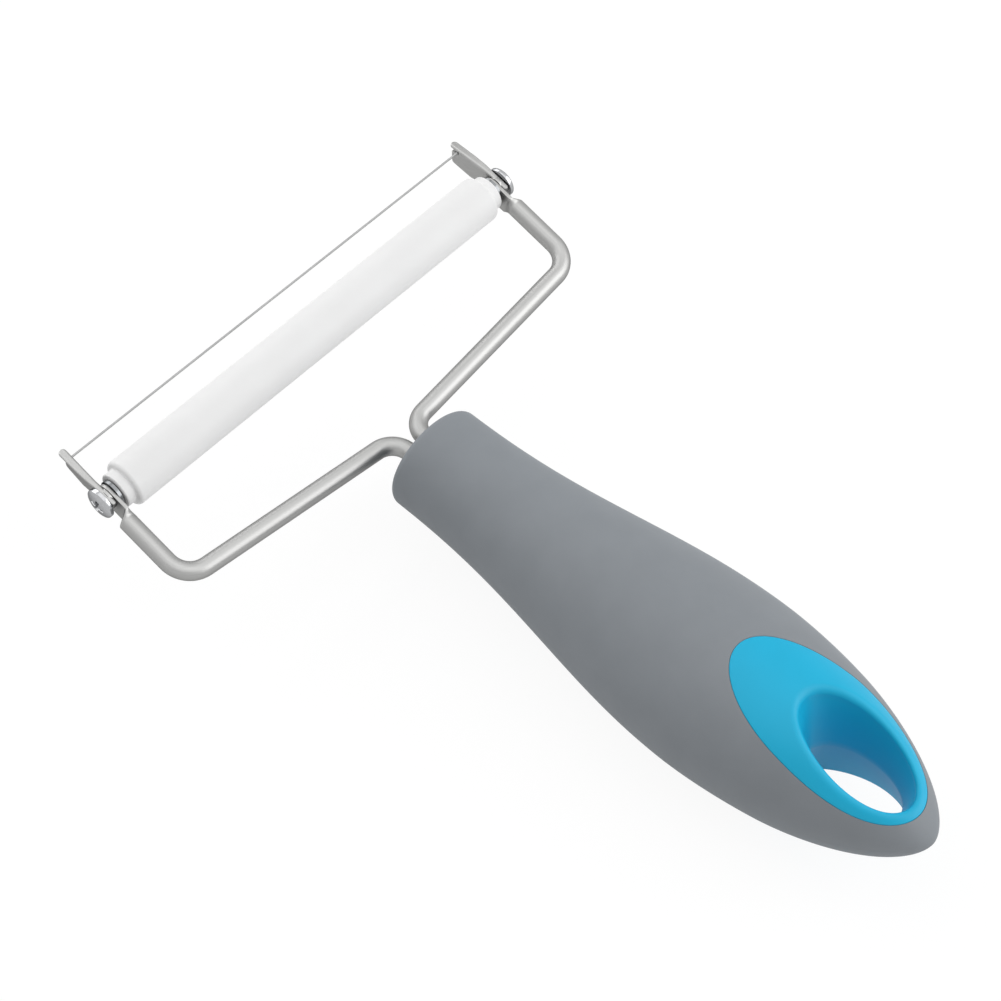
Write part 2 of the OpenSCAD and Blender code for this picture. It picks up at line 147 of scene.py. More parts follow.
class BracketSizes(bpy.types.PropertyGroup):
    """Sizes of the wire brackets: as in the CAD source, with a thinner, drooping flange and a round bend."""

    web_x: length("Web distance", "Middle of the slicer to the inner face of the web", 53.48)
    sheet: length("Sheet", "Thickness of the web", 0.75)
    eye_r: length("Eye radius", "Radius of the eye round the screw", 2.3)
    bore_r: length("Bore radius", "Radius of the screw hole", 1.15)
    reach: length("Web reach", "Front of the web before the roller axis", 11.75)
    notch_y: length("Notch depth", "Back of the wire notch before the roller axis", 9.845)
    notch_z: length("Notch height", "Lower side of the wire notch above the roller axis", 2.475)
    tongue: length("Tongue", "Front of the flange before the roller axis", 12.4)
    heel: length("Heel", "Rear of the flange behind the roller axis", 2.9)
    flange_z: length("Flange height", "Flange top above the roller axis, carried on from the front", 2.35)
    flange_t: length("Flange thickness", "Thickness of the flange", 0.5)
    lean_y: length("Lean start", "Place before the axis where the web starts to lean", 3.2)
    lean: length("Lean", "How far the front of the web leans inward", 0.5)
    bend_r: length("Bend radius", "Outer radius of the bend between web and flange", 0.55)
    droop: length("Droop", "How much lower the outer edge of the tongue lies", 0.22)
    flange_rise: bpy.props.FloatProperty(
        name="Rise", description="Slope of the flange up towards the tongue", default=0.14
    )
    flange_dip: bpy.props.FloatProperty(
        name="Dip", description="Curve of the flange down over the screw, per metre", default=15.0
    )


class ScrewSizes(bpy.types.PropertyGroup):
    """Sizes of the pivot screws: as in the CAD source, with a slightly shallower recess."""

    shank_r: length("Shank radius", "Radius of the plain shank", 1.1)
    shank_end: length("Shank end", "Middle of the slicer to the end of the shank", 46.4)
    head_x: length("Head distance", "Middle of the slicer to the underside of the head", 54.86)
    head_r: length("Head radius", "Radius of the pan head", 3.25)
    rim: length("Rim", "Height of the straight rim", 0.7)
    dome: length("Dome", "Height of the dome", 0.9)
    recess_l: length("Recess length", "Length of one arm of the cross recess", 3.4)
    recess_w: length("Recess width", "Width of the cross recess at the top", 0.8)
    recess_depth: length("Recess depth", "Depth of the cross recess", 0.95)


class Colours(bpy.types.PropertyGroup):
    """Colours of the finishes."""

    grip: colour("Grip", "Soft-touch elastomer", "#7E8388")
    core: colour("Core", "Moulded handle core", "#10AAD1")
    roller: colour("Roller", "Roller plastic", "#E7E7E7")
    steel: colour("Steel", "Stainless steel", "#A7A7A6")
    screw: colour("Screw", "Nickel-plated steel", "#B4B5B7")
    # The washer colour is darker than the other steel: painted shade for the gap between roller hub and
    # bracket
    washer: colour("Washer", "Zinc-plated steel", "#828486")
    wire: colour("Wire", "Bright drawn wire", "#A6A6A6")
    edge: colour("Steel edge", "Tint of the steel at grazing angles", "#A0A0A0")


# Powers of the handle outline: its swell, and its rear rounding seen from above and from the side
SWELL_POWER = 1.19
TAIL_POWER_A = 1.76
TAIL_POWER_B = 1.56


def swell(u, at):
    """Half a cosine wave from 0 at the front to 1 at distance at, stretched by a power."""
    return 0.5 - 0.5 * np.cos(np.pi * np.clip(u / at, 0, 1) ** SWELL_POWER)


def tail(u, at, end, power):
    """Superellipse quarter that falls from 1 at distance at to 0 at the rear end."""
    return (1 - np.clip((u - at) / (end - at), 0, 1) ** power) ** (1 / power)


def half_width(h, u):
    """Half width of the handle u behind its front: swell to the belly times the rear rounding."""
    swollen = h.front_a + (h.belly_a - h.front_a) * swell(u, h.wide_at)
    return swollen * tail(u, h.wide_at, h.length, TAIL_POWER_A)


def half_height(h, u):
    """Half height of the handle u behind its front, worked out as the half width is."""
    swollen = h.front_b + (h.belly_b - h.front_b) * swell(u, h.high_at)
    return swollen * tail(u, h.fall_at, h.length, TAIL_POWER_B)


def rise(h, x, back):
    """Height of the handle surface over its middle plane: b * sqrt(1 - (x/a)^2)."""
    u = back - h.setback
    a = np.maximum(half_width(h, u), MERGE)
    return half_height(h, u) * np.sqrt(np.clip(1 - (x / a) ** 2, 0, 1))


def in_frame(h, x, back, z):
    """Handle points in the row frame from x, the distance behind the roller axis and the height over the
    handle axis."""
    x, back, z = np.broadcast_arrays(x, back, z)
    return np.stack([x + AXIS.x, AXIS.y - back, AXIS.z - h.drop + z], axis=-1)


def oval(h, tau, grow):
    """Plan outline of the coloured oval, an ellipse grown by a margin."""
    x = (h.oval_w + grow) * np.cos(tau)
    back = h.oval_setback - (h.oval_l + grow) * np.sin(tau)
    return x, back


def corners(grid):
    """The four corner values of every quad of a grid, one row per quad."""
    quads = np.stack([grid[:-1, :-1], grid[:-1, 1:], grid[1:, 1:], grid[1:, :-1]], 2)
    return quads.reshape(-1, 4, *grid.shape[2:])


def unit(v):
    """Vector or rows of vectors scaled to length 1."""
    return v / np.linalg.norm(v, axis=-1, keepdims=True)


def rounded_path(points, radii, steps):
    """Polyline with arcs at its inner corners: at corner p with unit arms u and v the arc has its centre at
    p + r * (u + v) / |u + v| / sin(half the angle) and runs between the two tangent points."""
    pieces = [points[:1]]
    for before, p, after, radius in zip(points, points[1:], points[2:], radii):
        u, v = unit(before - p), unit(after - p)
        half = math.acos(u @ v) / 2
        centre = p + radius * unit(u + v) / math.sin(half)
        start, end = p + radius * u / math.tan(half) - centre, p + radius * v / math.tan(half) - centre
        sweep = math.pi - 2 * half
        t = np.linspace(0, 1, steps)[:, None]
        pieces.append(centre + (np.sin((1 - t) * sweep) * start + np.sin(t * sweep) * end) / math.sin(sweep))
    pieces.append(points[-1:])
    return np.concatenate(pieces)


def plate(outline, hole, low, high, edge):
    """Closed plate in the YZ plane with a hole and rounded edges. Rows run from the hole over one face,
    round the outer edge and back over the other face; columns run round the outline. Row points are
    hole + t * (outline - hole) on the faces and outline - edge * (1 - sin b) * normal on the rounded edge."""
    along = np.roll(outline, -1, 0) - np.roll(outline, 1, 0)
    normal = unit(np.stack([along[:, 1], -along[:, 0]], -1))
    turn = np.radians(np.linspace(0, 90, 6))
    bead = [(edge * (1 - math.sin(b)), low + edge * (1 - math.cos(b))) for b in turn]
    bead += [(inset, low + high - x) for inset, x in reversed(bead)]
    rim = [(outline - inset * normal, x) for inset, x in bead]
    faces = [(hole + t * (rim[0][0] - hole), low) for t in np.linspace(0, 1, 8)[:-1]]
    rows = faces + rim + [(flat, high) for flat, _ in reversed(faces)]
    return np.stack([np.column_stack([np.full(len(flat), x), flat]) for flat, x in rows])


def surface(name, grids, wrap_rows=False, wrap_columns=False, crease_deg=40):
    """Mesh of one or more point grids (rows, columns, xyz) with quads between neighbours.
    Points that meet are merged, which closes seams and poles, and the faces are turned outwards."""
    mesh = bpy.data.meshes.new(name)
    points, quads, layout, start = [], [], [], 0
    for grid in grids:
        rows, columns = grid.shape[:2]
        index = np.arange(rows * columns).reshape(rows, columns) + start
        if wrap_rows:
            index = np.vstack([index, index[:1]])
        if wrap_columns:
            index = np.hstack([index, index[:, :1]])
        quads.append(corners(index))
        shares = [np.linspace(0, 1, n) for n in index.shape]
        layout.append(corners(np.stack(np.meshgrid(*shares, indexing="ij"), -1)))
        points.append(grid.reshape(-1, 3))
        start += rows * columns
    mesh.from_pydata(np.concatenate(points), [], np.concatenate(quads))
    mesh.uv_layers.new(name="grid").data.foreach_set("uv", np.concatenate(layout).ravel())
    bm = bmesh.new()
    bm.from_mesh(mesh)
    bmesh.ops.remove_doubles(bm, verts=bm.verts, dist=MERGE)
    bmesh.ops.dissolve_degenerate(bm, edges=bm.edges, dist=MERGE / 2)
    bmesh.ops.recalc_face_normals(bm, faces=bm.faces)
    bm.to_mesh(mesh)
    bm.free()
    mesh.shade_smooth()
    mesh.set_sharp_from_angle(angle=math.radians(crease_deg))
    piece = bpy.data.objects.new(name, mesh)
    bpy.context.scene.collection.objects.link(piece)
    return piece


def dress(piece, body, make, node):
    """The piece rides on its body, stands for its CAD node and gets its material."""
    piece.data.materials.append(made_once(make))
    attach(piece, body)
    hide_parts(node)


def made_once(make):
    """The material of a maker function: named after it, and made at its first use."""
    name = make.__name__.replace("_", " ")
    return bpy.data.materials.get(name) or make(name)


def add(tree, kind, values=None, **settings):
    """Adds a shader node with its settings; values maps a socket to a number or to the socket feeding it."""
    made = tree.nodes.new(kind)
    for key, value in settings.items():
        setattr(made, key, value)
    for socket, value in (values or {}).items():
        if isinstance(value, bpy.types.NodeSocket):
            tree.links.new(value, made.inputs[socket])
        else:
            made.inputs[socket].default_value = value
    return made


def finish(name, base, roughness, metallic=0.0, **sockets):
    """A material with one Principled shader; returns it with its tree and shader."""
    material = bpy.data.materials.new(name)
    material.use_nodes = True
    tree = material.node_tree
    shader = tree.nodes["Principled BSDF"]
    shader.inputs["Base Color"].default_value = (*base, 1)
    shader.inputs["Roughness"].default_value = roughness
    shader.inputs["Metallic"].default_value = metallic
    for key, value in sockets.items():
        shader.inputs[key.replace("_", " ")].default_value = value
    return material, tree, shader


def grain(tree, shader, size_mm, depth_mm):
    """Fine bump of a given grain size and depth from noise on Object coordinates; returns the coordinates."""
    place = add(tree, "ShaderNodeTexCoord").outputs["Object"]
    noise = add(tree, "ShaderNodeTexNoise", {"Vector": place, "Scale": 1 / (size_mm * MM), "Detail": 2.0})
    bump = add(tree, "ShaderNodeBump", {"Height": noise.outputs["Fac"], "Distance": depth_mm * MM})
    tree.links.new(bump.outputs["Normal"], shader.inputs["Normal"])
    return place


def tone(tree, shader, place, base, size_mm, spread):
    """Slow variation of the base colour between darker and lighter by the given share."""
    noise = add(tree, "ShaderNodeTexNoise", {"Vector": place, "Scale": 1 / (size_mm * MM), "Detail": 3.0})
    shade(tree, shader, noise, base, (0.35, 0.65), (1 - spread, 1 + spread))


def shade(tree, shader, noise, base, places, shares):
    """The base colour times the first share up to the first place of the noise and times the second past
    the second place."""
    ramp = add(tree, "ShaderNodeValToRGB", {"Fac": noise.outputs["Fac"]})
    for stop, place, share in zip(ramp.color_ramp.elements, places, shares):
        stop.position = place
        stop.color = (*[min(1, c * share) for c in base], 1)
    tree.links.new(ramp.outputs["Color"], shader.inputs["Base Color"])


def soft_touch_elastomer(name):
    """Moulded thermoplastic elastomer. The spark-eroded mould gives a matt skin that spreads every highlight.
    Its grain of about 0.1 mm is drawn at 0.35 mm so that it shows."""
    base = tuple(bpy.context.scene.slicer_colours.grip)
    material, tree, shader = finish(name, base, 0.62, IOR=1.48)
    place = grain(tree, shader, 0.35, 0.012)
    tone(tree, shader, place, base, 6.0, 0.02)
    return material


def moulded_polypropylene(name):
    """Injection-moulded polypropylene from a blasted mould: an even satin sheen and clean, bright colour.
    Its grain is drawn at 0.5 mm, coarser than it is, so that it shows."""
    base = tuple(bpy.context.scene.slicer_colours.core)
    material, tree, shader = finish(name, base, 0.46, IOR=1.49, Specular_IOR_Level=0.35)
    place = grain(tree, shader, 0.5, 0.004)
    tone(tree, shader, place, base, 8.0, 0.015)
    return material


def white_polyamide(name):
    """Turned white polyamide: milky, with one wide and weak highlight along the roller.
    Its tool marks are drawn at 0.6 mm, coarser than they are, so that they show."""
    base = tuple(bpy.context.scene.slicer_colours.roller)
    material, tree, shader = finish(name, base, 0.62, IOR=1.53)
    place = grain(tree, shader, 0.6, 0.003)
    tone(tree, shader, place, base, 10.0, 0.01)
    return material


def metal(name, base, roughness, spread, size_mm, depth_mm, vector):
    """Bare metal, darker at grazing angles: noise on the given coordinates varies its roughness and tone and
    cuts fine lines."""
    edge = tuple(bpy.context.scene.slicer_colours.edge)
    material, tree, shader = finish(name, base, roughness, 1.0, Specular_Tint=(*edge, 1))
    scale = 1 / (size_mm * MM)
    lines = add(tree, "ShaderNodeTexNoise", {"Vector": vector(tree), "Scale": scale, "Detail": 4.0})
    rough = add(
        tree,
        "ShaderNodeMapRange",
        {"Value": lines.outputs["Fac"], "To Min": roughness - spread, "To Max": roughness + spread},
    )
    tree.links.new(rough.outputs["Result"], shader.inputs["Roughness"])
    shade(tree, shader, lines, base, (0.3, 0.7), (0.92, 1.06))
    bump = add(tree, "ShaderNodeBump", {"Height": lines.outputs["Fac"], "Distance": depth_mm * MM})
    tree.links.new(bump.outputs["Normal"], shader.inputs["Normal"])
    return material


def object_grain(stretch):
    """Object coordinates, stretched along the grain."""
    def build(tree):
        coords = add(tree, "ShaderNodeTexCoord")
        mapped = add(tree, "ShaderNodeMapping", {"Vector": coords.outputs["Object"], "Scale": stretch})
        return mapped.outputs["Vector"]
    return build


def wrapped_grain(radius, run):
    """Coordinates on a tube from its own UV: the angle goes round a circle of the given radius, so the grain
    has no seam, and the length runs slowly, which draws the grain out along the tube."""
    def build(tree):
        uv = add(tree, "ShaderNodeUVMap", uv_map="grid")
        parts = add(tree, "ShaderNodeSeparateXYZ", {0: uv.outputs["UV"]})
        turn = {0: parts.outputs["Y"], 1: 2 * math.pi}
        angle = add(tree, "ShaderNodeMath", turn, operation="MULTIPLY")
        across = add(tree, "ShaderNodeMath", {0: angle.outputs[0]}, operation="COSINE")
        down = add(tree, "ShaderNodeMath", {0: angle.outputs[0]}, operation="SINE")
        around = {"X": across.outputs[0], "Y": down.outputs[0], "Z": parts.outputs["X"]}
        place = add(tree, "ShaderNodeCombineXYZ", around)
        mapped = add(tree, "ShaderNodeMapping", {"Vector": place.outputs[0], "Scale": (radius, radius, run)})
        return mapped.outputs["Vector"]
    return build


def drawn_stainless_rod(name):
    """Cold-drawn stainless rod: the die leaves fine lines along it, then it is tumbled to a satin shine."""
    steel = tuple(bpy.context.scene.slicer_colours.steel)
    return metal(name, steel, 0.45, 0.04, 0.5, 0.0004, wrapped_grain(1.9 * MM, 4 * MM))


def rolled_stainless_sheet(name):
    """Cold-rolled stainless sheet, stamped and bent: a fine rolling grain runs along the strip."""
    steel = tuple(bpy.context.scene.slicer_colours.steel)
    return metal(name, steel, 0.36, 0.05, 0.25, 0.0008, object_grain((1, 0.12, 1)))


def nickel_plated_screw_steel(name):
    """Cold-headed screw, nickel plated and bright, with faint pits from tumbling."""
    screw = tuple(bpy.context.scene.slicer_colours.screw)
    return metal(name, screw, 0.19, 0.05, 0.4, 0.004, object_grain((1, 1, 1)))


def washer_steel_with_painted_shade(name):
    """Stamped washer, zinc plated, with turned marks round its face. Its base colour is set darker than the
    other steel as painted shade, for the shaded gap between roller hub and bracket where the washers sit.
    """
    washer = tuple(bpy.context.scene.slicer_colours.washer)
    return metal(name, washer, 0.24, 0.08, 0.3, 0.003, object_grain((4, 1, 1)))


def spring_steel_wire(name):
    """Drawn stainless spring wire: an even grey line with its die marks drawn out along it."""
    wire = tuple(bpy.context.scene.slicer_colours.wire)
    return metal(name, wire, 0.7, 0.04, 0.4, 0.0001, object_grain((0.05, 1, 1)))


def seen_directly(tree, mirrored):
    """1 for camera and transmission rays, the given share for mirror rays and else 0."""
    rays = add(tree, "ShaderNodeLightPath").outputs
    seen = add(tree, "ShaderNodeMath", {0: rays["Is Glossy Ray"], 1: mirrored}, operation="MULTIPLY")
    for kind in ("Is Camera Ray", "Is Transmission Ray"):
        seen = add(tree, "ShaderNodeMath", {0: rays[kind], 1: seen.outputs[0]}, operation="MAXIMUM")
    return seen.outputs[0]


class SLICER_OT_grip(bpy.types.Operator):
    """Soft grip: the handle skin with the two oval openings"""

    bl_idname = "slicer.grip"
    bl_label = "Grip"

    def execute(self, context):
        """Each half skin is made of rays from the edge of the oval to the rim of the half handle. Along a ray
        w and theta go evenly from one end to the other, and a point lies at u = length * (1 - w^2),
        x = half width * sin(theta) and z = half height * cos(theta)."""
        h = context.scene.slicer_handle
        side_steps, front_steps, rear_steps, ray_steps = 120, 72, 40, 110
        front_w = math.sqrt(1 - h.front_r / h.length)
        quarter = math.pi / 2
        # Perimeter of the top half in (w, theta): w is the root of the share of length left behind
        w_rim = np.concatenate([
            np.linspace(0, front_w, side_steps, endpoint=False),
            np.full(front_steps, front_w),
            np.linspace(front_w, 0, side_steps, endpoint=False),
            np.zeros(rear_steps),
        ])
        theta_rim = np.concatenate([
            np.full(side_steps, quarter),
            np.linspace(quarter, -quarter, front_steps, endpoint=False),
            np.full(side_steps, -quarter),
            np.linspace(-quarter, quarter, rear_steps, endpoint=False),
        ])
        end = h.setback + h.length
        w_oval = math.sqrt((end - h.oval_setback) / h.length)
        # Half size of the oval in w and in theta, which spreads the rays evenly round it
        reach_w, reach_theta = 0.21, math.radians(38)
        tau = np.arctan2((w_rim - w_oval) / reach_w, theta_rim / reach_theta)
        x0, back0 = oval(h, tau, h.oval_gap + h.edge_r)
        w0 = np.sqrt((end - back0) / h.length)
        theta0 = np.arcsin(np.clip(x0 / half_width(h, back0 - h.setback), -1, 1))
        t = np.linspace(0, 1, ray_steps)[:, None]
        w = w0 + (w_rim - w0) * t
        theta = theta0 + (theta_rim - theta0) * t
        u = h.length * (1 - w**2)
        x = half_width(h, u) * np.sin(theta)
        z = half_height(h, u) * np.cos(theta)
        back = h.setback + u
        # Rounded lip of the opening and the wall down to the middle plane
        beta = np.radians([90, 67.5, 45, 22.5, 0])[:, None]
        grow = h.oval_gap + h.edge_r * (1 - np.cos(beta))
        lip_x, lip_back = oval(h, tau, grow)
        lip_z = rise(h, lip_x, lip_back) - h.edge_r * (1 - np.sin(beta))
        wall = np.linspace(1, 0, 5)[1:, None]
        wall_x = np.repeat(lip_x[-1:], 4, 0)
        wall_back = np.repeat(lip_back[-1:], 4, 0)
        half_x = np.vstack([x[::-1], lip_x[1:], wall_x])
        half_back = np.vstack([back[::-1], lip_back[1:], wall_back])
        half_z = np.vstack([z[::-1], lip_z[1:], lip_z[-1:] * wall])
        skin = np.concatenate([
            in_frame(h, half_x, half_back, half_z),
            in_frame(h, half_x[-2::-1], half_back[-2::-1], -half_z[-2::-1]),
        ])
        # Front: full ring, rounded edge and a flat face to the middle
        upper = theta_rim[side_steps : side_steps + front_steps + 1]
        ring = np.concatenate([upper, upper[1:-1][::-1]])
        sign = np.concatenate([np.ones(len(upper)), -np.ones(len(upper) - 2)])
        turn = np.radians(np.linspace(90, 0, 9))[:, None]
        u_front = h.front_r * (1 - np.cos(turn))
        inset = h.front_r * (1 - np.sin(turn))
        edge = in_frame(
            h,
            (half_width(h, u_front) - inset) * np.sin(ring),
            h.setback + u_front,
            (half_height(h, u_front) - inset) * np.cos(ring) * sign,
        )
        inward = np.array([0.98, 0.7, 0.35, 0])[:, None]
        face = in_frame(
            h,
            (h.front_a - h.front_r) * np.sin(ring) * inward,
            h.setback,
            (h.front_b - h.front_r) * np.cos(ring) * sign * inward,
        )
        front = np.concatenate([edge, face])
        front = np.concatenate([front, front[:, :1]], axis=1)
        skin = np.concatenate([skin, skin[:, :1]], axis=1)
        piece = surface("grip", [skin, front])
        dress(piece, "handle_and_fork", soft_touch_elastomer, "grip_sleeve")
        return {"FINISHED"}


class SLICER_OT_core(bpy.types.Operator):
    """Coloured core: the oval on both faces with the waisted hang eye between them"""

    bl_idname = "slicer.core"
    bl_label = "Core with hang eye"

    def execute(self, context):
        """Rings go up the hole wall, over the rolled rim, out to the edge of the oval, round that edge and
        down to the middle plane. Between rim and edge a point lies on the straight line seen from above, at
        the height of the handle surface."""
        h = context.scene.slicer_handle
        around, wall_steps, roll_steps, plan_steps = 320, 12, 15, 26
        phi = np.linspace(0, 2 * np.pi, around, endpoint=False)
        tau = phi + np.pi / 2

        def hole(up, roll, depth):
            """Hole wall: an ellipse that flares from the waist (up 0) to the rim (up 1) and rolls over."""
            half_w = h.hole_w + h.flare_w * up + h.rim_r * roll
            half_l = h.hole_l + h.flare_l * up + h.rim_r * roll
            x = -half_w * np.sin(phi)
            back = h.hole_setback - h.flare_shift * up - half_l * np.cos(phi)
            return x, back, up * (rise(h, x, back) - h.rim_r * depth)

        rings = [hole(np.linspace(0, 1, wall_steps)[:, None], 0, 1)]
        turn = np.radians(np.linspace(0, 90, roll_steps))[1:, None]
        rings.append(hole(1, 1 - np.cos(turn), 1 - np.sin(turn)))
        rim_x, rim_back, _ = hole(1, 1, 0)
        edge_x, edge_back = oval(h, tau, -h.edge_r)
        t = np.linspace(0, 1, plan_steps)[1:, None]
        plan_x = rim_x + (edge_x - rim_x) * t
        plan_back = rim_back + (edge_back - rim_back) * t
        rings.append((plan_x, plan_back, rise(h, plan_x, plan_back)))
        beta = np.radians([67.5, 45, 22.5, 0])[:, None]
        lip_x, lip_back = oval(h, tau, -h.edge_r * (1 - np.cos(beta)))
        lip_z = rise(h, lip_x, lip_back) - h.edge_r * (1 - np.sin(beta))
        rings.append((lip_x, lip_back, lip_z))
        down = np.linspace(1, 0, 5)[1:, None]
        rings.append((np.repeat(lip_x[-1:], 4, 0), np.repeat(lip_back[-1:], 4, 0), lip_z[-1:] * down))
        x, back, z = (np.vstack([ring[k] for ring in rings]) for k in range(3))
        upper = in_frame(h, x, back, z)
        lower = in_frame(h, x[-2:0:-1], back[-2:0:-1], -z[-2:0:-1])
        piece = surface("core", [np.concatenate([upper, lower])], True, True)
        dress(piece, "handle_and_fork", moulded_polypropylene, "handle_core")
        return {"FINISHED"}


class SLICER_OT_roller(bpy.types.Operator):
    """Guide roller: a turned profile with rounded shoulders, small hubs and pivot holes"""

    bl_idname = "slicer.roller"
    bl_label = "Roller"

    def execute(self, context):
        """The profile is turned round the axis: (x, radius * cos(angle), radius * sin(angle))."""
        r = context.scene.slicer_roller
        turn = np.radians(np.linspace(0, 90, 9))
        end = r.half + r.hub_len
        fillet, chamfer, lead_in = 0.35 * MM, 0.3 * MM, 0.15 * MM
        # Right half of the profile as (distance from the middle, radius)
        body = [(0, r.radius), (r.half * 0.5, r.radius)]
        rest_sin, rest_cos = 1 - np.sin(turn), 1 - np.cos(turn)
        shoulder = zip(r.half - r.shoulder_r * rest_sin, r.radius - r.shoulder_r * rest_cos)
        hollow = zip(r.half + fillet * rest_cos, r.hub_r + fillet * rest_sin)
        tip = zip(end - chamfer * rest_sin, r.hub_r - chamfer * rest_cos)
        mouth = [(end, r.bore_r + lead_in), (end - lead_in, r.bore_r)]
        bore = [(end - r.bore_depth, r.bore_r), (end - r.bore_depth, 0)]
        right = np.array([*body, *shoulder, *hollow, *tip, *mouth, *bore])
        profile = np.concatenate([right[::-1] * (-1, 1), right[1:]])
        angle = np.linspace(0, 2 * np.pi, 160, endpoint=False)[:, None]
        along, radius = profile[:, 0], profile[:, 1]
        grid = np.stack(np.broadcast_arrays(along, radius * np.cos(angle), radius * np.sin(angle)), -1)
        piece = surface("guide_roller", [grid + AXIS_POINT], wrap_rows=True, crease_deg=50)
        dress(piece, "roller_body", white_polyamide, "roller")
        return {"FINISHED"}


class SLICER_OT_rods(bpy.types.Operator):
    """Fork rods: bent round bars whose ends are flattened and pierced for the screws"""

    bl_idname = "slicer.rods"
    bl_label = "Fork rods"

    def execute(self, context):
        for side, name in ((-1, "left"), (1, "right")):
            grids = [self.bar(context, side), self.tab(context, side)]
            piece = surface(f"{name}_rod", grids, wrap_columns=True, crease_deg=35)
            dress(piece, "handle_and_fork", drawn_stainless_rod, f"{name}_fork_rod")
        return {"FINISHED"}

    def arm(self, r):
        """Slope of the arm and its unit direction forwards."""
        slope = (r.corner_drop - r.arm_drop) / r.corner_back
        return slope, unit(np.array([0, 1, slope]))

    def bar(self, context, side):
        """Sweep along the path, at right angles to it. The half axes go from round (radius, radius) to flat
        (half the tab thickness, tab radius) by a cosine step e, and the section is the superellipse
        (ax * sign(sin a) |sin a|^n, az * sign(cos a) |cos a|^n) with n from 1 to 0.4."""
        r = context.scene.slicer_rods
        h = context.scene.slicer_handle
        slope, _ = self.arm(r)
        # The flattened bar runs on into the tab, and stays a little thinner than it
        into_tab, past_spade, fill, cross_lift = 0.6 * MM, 0.4 * MM, 0.985, 0.1 * MM
        bend_start, lead_steps = r.spade_start + 0.5 * MM, 34
        backs = np.linspace(r.spade_end - into_tab, r.spade_start + past_spade, lead_steps)
        ends = np.array([
            (side * r.arm_x, -bend_start, -slope * bend_start - r.arm_drop),
            (side * r.arm_x, -r.corner_back, -r.corner_drop),
            (side * r.neck_x, -r.cross_back, -h.drop + cross_lift),
            (side * r.neck_x, -h.setback - r.socket, -h.drop),
        ])
        lead = np.column_stack([np.full(lead_steps, side * r.arm_x), -backs, -slope * backs - r.arm_drop])
        path = np.concatenate([lead, rounded_path(ends, (r.corner_r, r.neck_r), 36)])
        along = unit(np.gradient(path, axis=0))
        along[: lead_steps - 1] = unit(lead[1] - lead[0])
        middle = np.concatenate([backs, np.full(len(path) - lead_steps, r.spade_start + r.radius)])
        share = np.clip((r.spade_start - middle) / (r.spade_start - r.spade_end), 0, 1)
        e = (0.5 - 0.5 * np.cos(np.pi * share))[:, None]
        path[:, 0] += side * (r.tab_x - r.arm_x) * e[:, 0]
        across = unit(np.cross(along, (0, 0, 1)))
        lift = np.cross(across, along)
        a = np.linspace(0, 2 * np.pi, 64, endpoint=False)
        n = 1 - 0.6 * e
        wide = r.radius * (1 - e) + fill * r.tab_t / 2 * e
        tall = r.radius * (1 - e) + fill * r.tab_r * e
        sin, cos = np.sin(a), np.cos(a)
        u = wide * np.sign(sin) * np.abs(sin) ** n
        v = tall * np.sign(cos) * np.abs(cos) ** n
        skin = path[:, None] + across[:, None] * u[..., None] + lift[:, None] * v[..., None]
        shut = [np.broadcast_to(path[k], skin[0].shape)[None] for k in (0, -1)]
        return np.concatenate([shut[0], skin, shut[1]]) + AXIS_POINT

    def tab(self, context, side):
        """Flat end: a strap with a round tip and the screw hole, as a plate between two YZ planes."""
        r = context.scene.slicer_rods
        slope, forwards = self.arm(r)
        a = np.radians(np.linspace(0, 360, 96, endpoint=False))
        hole = r.bore_r * np.column_stack([np.cos(a), np.sin(a)])
        tip = np.array([r.tip, slope * r.tip - r.arm_drop])
        # Ray from the tip centre meets the round tip in front and the strap sides and back behind
        under_bar, edge, least = 0.5 * MM, 0.12 * MM, 1e-6
        rear = r.spade_end + under_bar + r.tip
        tilt = math.atan2(forwards[2], forwards[1])
        c, s = np.cos(a - tilt), np.sin(a - tilt)
        strap = np.minimum(r.tab_r / np.maximum(np.abs(s), least), rear / np.maximum(-c, least))
        reach = np.where(c > 0, r.tab_r, strap)
        outline = tip + reach[:, None] * np.column_stack([np.cos(a), np.sin(a)])
        low, high = r.tab_x - r.tab_t / 2, r.tab_x + r.tab_t / 2
        grid = plate(outline, hole, low, high, edge)
        grid[..., 0] *= side
        return np.concatenate([grid, grid[:1]]) + AXIS_POINT


